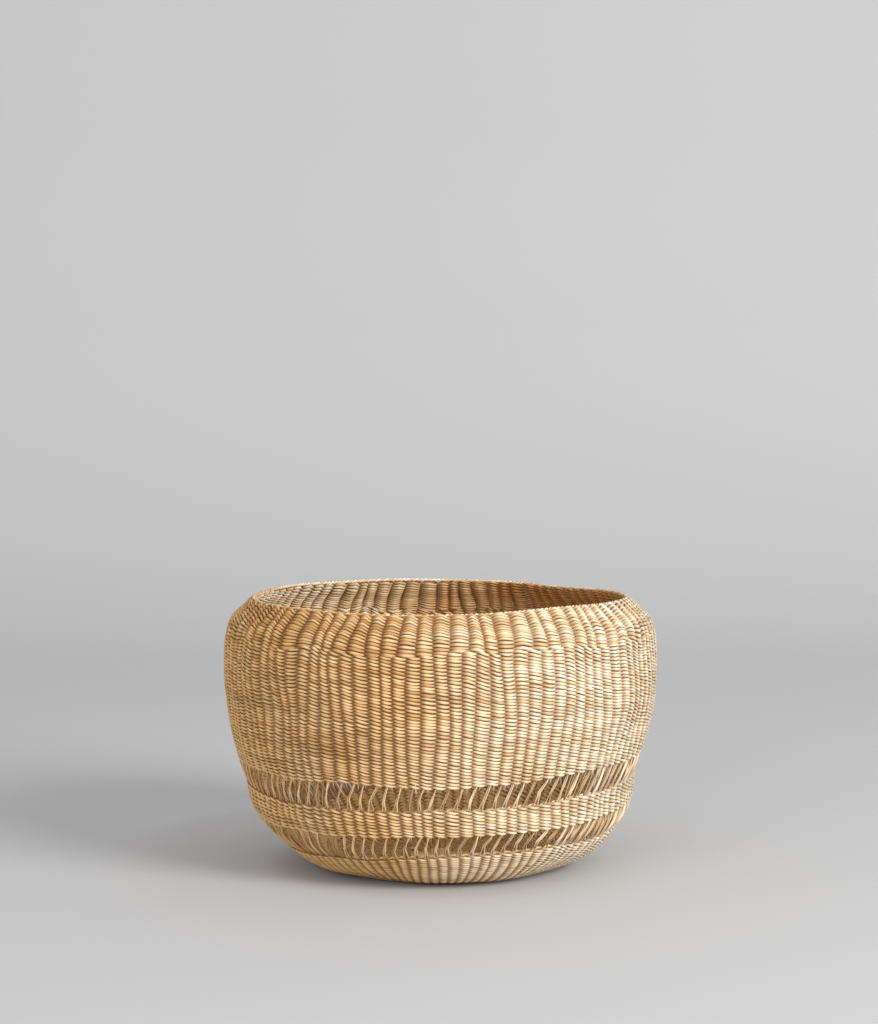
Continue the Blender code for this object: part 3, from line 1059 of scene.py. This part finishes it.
class BASKET_OT_floor(bpy.types.Operator):
    """Weave the flat floor in rings that gain stakes outwards"""

    bl_idname = "basket.floor"
    bl_label = "Floor"

    def execute(self, context):
        wall = Wall()
        sizes = settings().weave
        base = wall.shape.base_radius
        outer = float(wall.outline.arc_at(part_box("base_floor")[1].z))
        rings = (
            (0.010, 0.026, 21),
            (0.026, 0.052, 42),
            (0.052, base, 84),
            (base, outer, sizes.stakes),
        )
        laps = RING_LAP, RING_LAP
        for index, (low, high, count) in enumerate(rings):
            stakes = Stakes(wall, count, 60 + index)
            edges = np.full(1, low - RING_LAP), np.full(1, high)
            zone = Zone(wall, stakes, edges, sizes.row_pitch, 70 + index, overrun=laps)
            names = ["floor%d_weft" % (index + 1)]
            weave_zone(names, zone, "woven_floor_grass", "base_floor")
        return {"FINISHED"}


class BASKET_OT_start_cross(bpy.types.Operator):
    """Lay the crossed bundles of the first stakes"""

    bl_idname = "basket.start_cross"
    bl_label = "Start cross"

    def execute(self, context):
        low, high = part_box("start_cross")
        stalks = 9
        mesh = cut_rods(2 * stalks, 8, 6)
        rod, share, corner = read_rack(get_points(mesh))
        bundle, stalk = rod // stalks, rod % stalks
        radius = (high.y - low.y) / 2.0 / stalks * 0.33
        lengthwise = (2.0 * share - 1.0) * (high.x - low.x) / 2.0
        crossing = np.cos(math.pi * (share - 0.5)) ** 6
        aside = (stalk - (stalks - 1) / 2.0) * 2.05 * radius + radius * np.cos(corner)
        height = low.z + radius * (1.0 + np.sin(corner)) + crossing * radius * (0.2 + 2.0 * bundle)
        along = np.where(bundle == 0, lengthwise, aside)
        across = np.where(bundle == 0, aside, lengthwise)
        set_points(mesh, np.stack((along, across, height), axis=-1))
        tone = np.random.default_rng(5).uniform(0.2, 1.0, 2 * stalks)[rod]
        # Painted shade: each stalk is darker on its underside
        painted_shade = 0.4 - 0.4 * np.sin(corner)
        set_finish(mesh, rod_lane(rod, lengthwise, corner), tone, np.zeros(len(rod)), painted_shade)
        new_piece("start_cross_stalks", mesh, "bare_stake_grass", "start_cross")
        return {"FINISHED"}


class BASKET_OT_sidings(bpy.types.Operator):
    """Weave the foot, middle, body and shoulder of the wall"""

    bl_idname = "basket.sidings"
    bl_label = "Sidings"

    def execute(self, context):
        wall = Wall()
        sizes = settings().weave
        pitch = sizes.row_pitch
        stakes = Stakes(wall, sizes.stakes, SEED)
        edges = siding_edges(wall, "foot_siding", stakes)
        foot = Zone(wall, stakes, edges, 1.12 * pitch, 11, slant=0.30)
        names = ["foot_weft_lower", "foot_weft_upper"]
        weave_zone(names, foot, "woven_foot_grass", "foot_siding")
        middle = Zone(wall, stakes, siding_edges(wall, "middle_siding", stakes), pitch, 12)
        weave_zone(["middle_weft"], middle, "woven_wall_grass", "middle_siding")
        low, high = siding_edges(wall, "body_siding", stakes)
        edges = low, high + self.join(wall, stakes)
        run = HELD_BACK, SIDING_LAP
        body = Zone(wall, stakes, edges, pitch, 13, overrun=run, clean_edges=(1.0, 0.0))
        names = ["body_weft_%d" % number for number in (1, 2, 3, 4)]
        weave_zone(names, body, "woven_wall_grass", "body_siding")
        self.shoulder(wall, pitch, Stakes(wall, sizes.shoulder_stakes, SEED + 1))
        return {"FINISHED"}

    def shoulder(self, wall, pitch, stakes):
        """The drawn-in top of the wall, with fewer and fatter ribs."""
        low, high = siding_edges(wall, "shoulder_siding", stakes)
        top = np.full(len(high), wall.outline.arcs[-1] - UNDER_RIM)
        edges = low - 0.3 * pitch + self.join(wall, stakes), top
        habit = {"slant": 0.20, "arch": 0.8, "curl": 0.0016, "fullness": 1.10}
        ends = {"overrun": (SIDING_LAP, HELD_BACK), "clean_edges": (0.0, 1.0)}
        zone = Zone(wall, stakes, edges, 1.04 * pitch, 14, **habit, **ends)
        weave_zone(["shoulder_weft"], zone, "woven_shoulder_grass", "shoulder_siding")

    def join(self, wall, stakes):
        """How far the uneven join of body and shoulder strays up the wall at each stake."""
        return JOIN_DRIFT * field(wall.join_drift, np.arange(stakes.count) * stakes.pitch, 0.0)


class BASKET_OT_openwork(bpy.types.Operator):
    """Stand the bare forked stakes in the two openwork bands"""

    bl_idname = "basket.openwork"
    bl_label = "Openwork"

    def execute(self, context):
        wall = Wall()
        stakes = Stakes(wall, settings().weave.stakes, SEED)
        for label, band in BANDS.items():
            low = edge_curve(siding_edges(wall, band.below, stakes)[1])
            high = edge_curve(siding_edges(wall, band.above, stakes)[0])
            strands = {
                "_bare_stakes": lay_openwork(stakes, low, high, band),
                "_splints": lay_splints(stakes, low, high, band),
                "_cut_ends": lay_cut_ends(stakes, high, band),
            }
            node = label + "_openwork"
            for ending, mesh in strands.items():
                new_piece(label + ending, mesh, "bare_stake_grass", node)
        return {"FINISHED"}


class BASKET_OT_rim(bpy.types.Operator):
    """Twist the two-ply cord along the mouth"""

    bl_idname = "basket.rim"
    bl_label = "Rim cord"

    def execute(self, context):
        mesh = lay_rim_cord(Wall(), RIM_TWISTS, 51)
        new_piece("rim_plies", mesh, "twisted_rim_grass", "rim_cord")
        return {"FINISHED"}


class BASKET_OT_stage(bpy.types.Operator):
    """Set up the floor, the lights and the camera"""

    bl_idname = "basket.stage"
    bl_label = "Stage"

    def execute(self, context):
        context.scene.view_settings.view_transform = "Standard"
        self.backdrop()
        self.lights()
        self.camera()
        return {"FINISHED"}

    def backdrop(self):
        """A pale floor that sweeps up behind the basket."""
        builder = bmesh.new()
        bmesh.ops.create_grid(builder, x_segments=1, y_segments=24, size=1.0)
        bend_start, bend_radius, half_width, front = 1.6, 0.9, 4.0, -3.2
        flat = bend_start - front
        bend = bend_radius * math.pi / 2.0
        whole = flat + bend + 2.5
        for vert in builder.verts:
            run = (vert.co.y + 1.0) / 2.0 * whole
            turn = min(max(run - flat, 0.0), bend) / bend_radius
            rise = max(run - flat - bend, 0.0)
            y = front + min(run, flat) + bend_radius * math.sin(turn)
            z = bend_radius * (1.0 - math.cos(turn)) + rise
            vert.co = (vert.co.x * half_width, y, z)
        mesh = built(builder, "studio_sweep")
        sweep = new_object("studio_sweep", mesh)
        material = bpy.data.materials.new("studio_paper")
        material.use_nodes = True
        shader = material.node_tree.nodes["Principled BSDF"]
        fill(shader, {"Base Color": (*settings().colours.studio, 1.0), "Roughness": 0.9})
        mesh.materials.append(material)
        mesh.shade_smooth()

    def lights(self):
        world = bpy.data.worlds.new("studio_air")
        bpy.context.scene.world = world
        world.use_nodes = True
        air = world.node_tree.nodes["Background"]
        fill(air, {"Color": (1.0, 1.0, 1.0, 1.0), "Strength": AIR_STRENGTH})
        for name, (place, size, power, colour) in LAMPS.items():
            lamp = bpy.data.lights.new(name, "AREA")
            lamp.size, lamp.energy, lamp.color = size, power, colour
            item = new_object(name, lamp)
            item.location = place
            aim = Vector(LAMP_AIM) - Vector(place)
            item.rotation_euler = aim.to_track_quat("-Z", "Y").to_euler()

    def camera(self):
        """The viewer's place: almost level, a little over two metres in front of the axis."""
        camera = bpy.data.cameras.new("viewer")
        camera.sensor_width = SENSOR
        camera.lens = LENS
        item = new_object("viewer", camera)
        item.location = VIEWER_PLACE
        item.rotation_euler = (math.pi / 2.0 - math.radians(VIEWER_DOWN), 0.0, 0.0)
        bpy.context.scene.camera = item


class BASKET_PT_panel(bpy.types.Panel):
    """Lists the steps that weave the basket"""

    bl_idname = "BASKET_PT_panel"
    bl_label = "Twined basket"
    bl_space_type = "VIEW_3D"
    bl_region_type = "UI"
    bl_category = "Basket"

    def draw(self, context):
        for step in STEPS:
            self.layout.operator(step.bl_idname)


STEPS = (
    BASKET_OT_floor,
    BASKET_OT_start_cross,
    BASKET_OT_sidings,
    BASKET_OT_openwork,
    BASKET_OT_rim,
    BASKET_OT_stage,
)
CLASSES = (BasketShape, WeaveSizes, GrassColours, BasketSettings, *STEPS, BASKET_PT_panel)


def register():
    for item in CLASSES:
        bpy.utils.register_class(item)
    bpy.types.Scene.twined_basket = PointerProperty(type=BasketSettings)


def unregister():
    del bpy.types.Scene.twined_basket
    for item in reversed(CLASSES):
        bpy.utils.unregister_class(item)


def main():
    register()
    bpy.ops.basket.floor()
    bpy.ops.basket.start_cross()
    bpy.ops.basket.sidings()
    bpy.ops.basket.openwork()
    bpy.ops.basket.rim()
    bpy.ops.basket.stage()


if __name__ == "__main__":
    main()
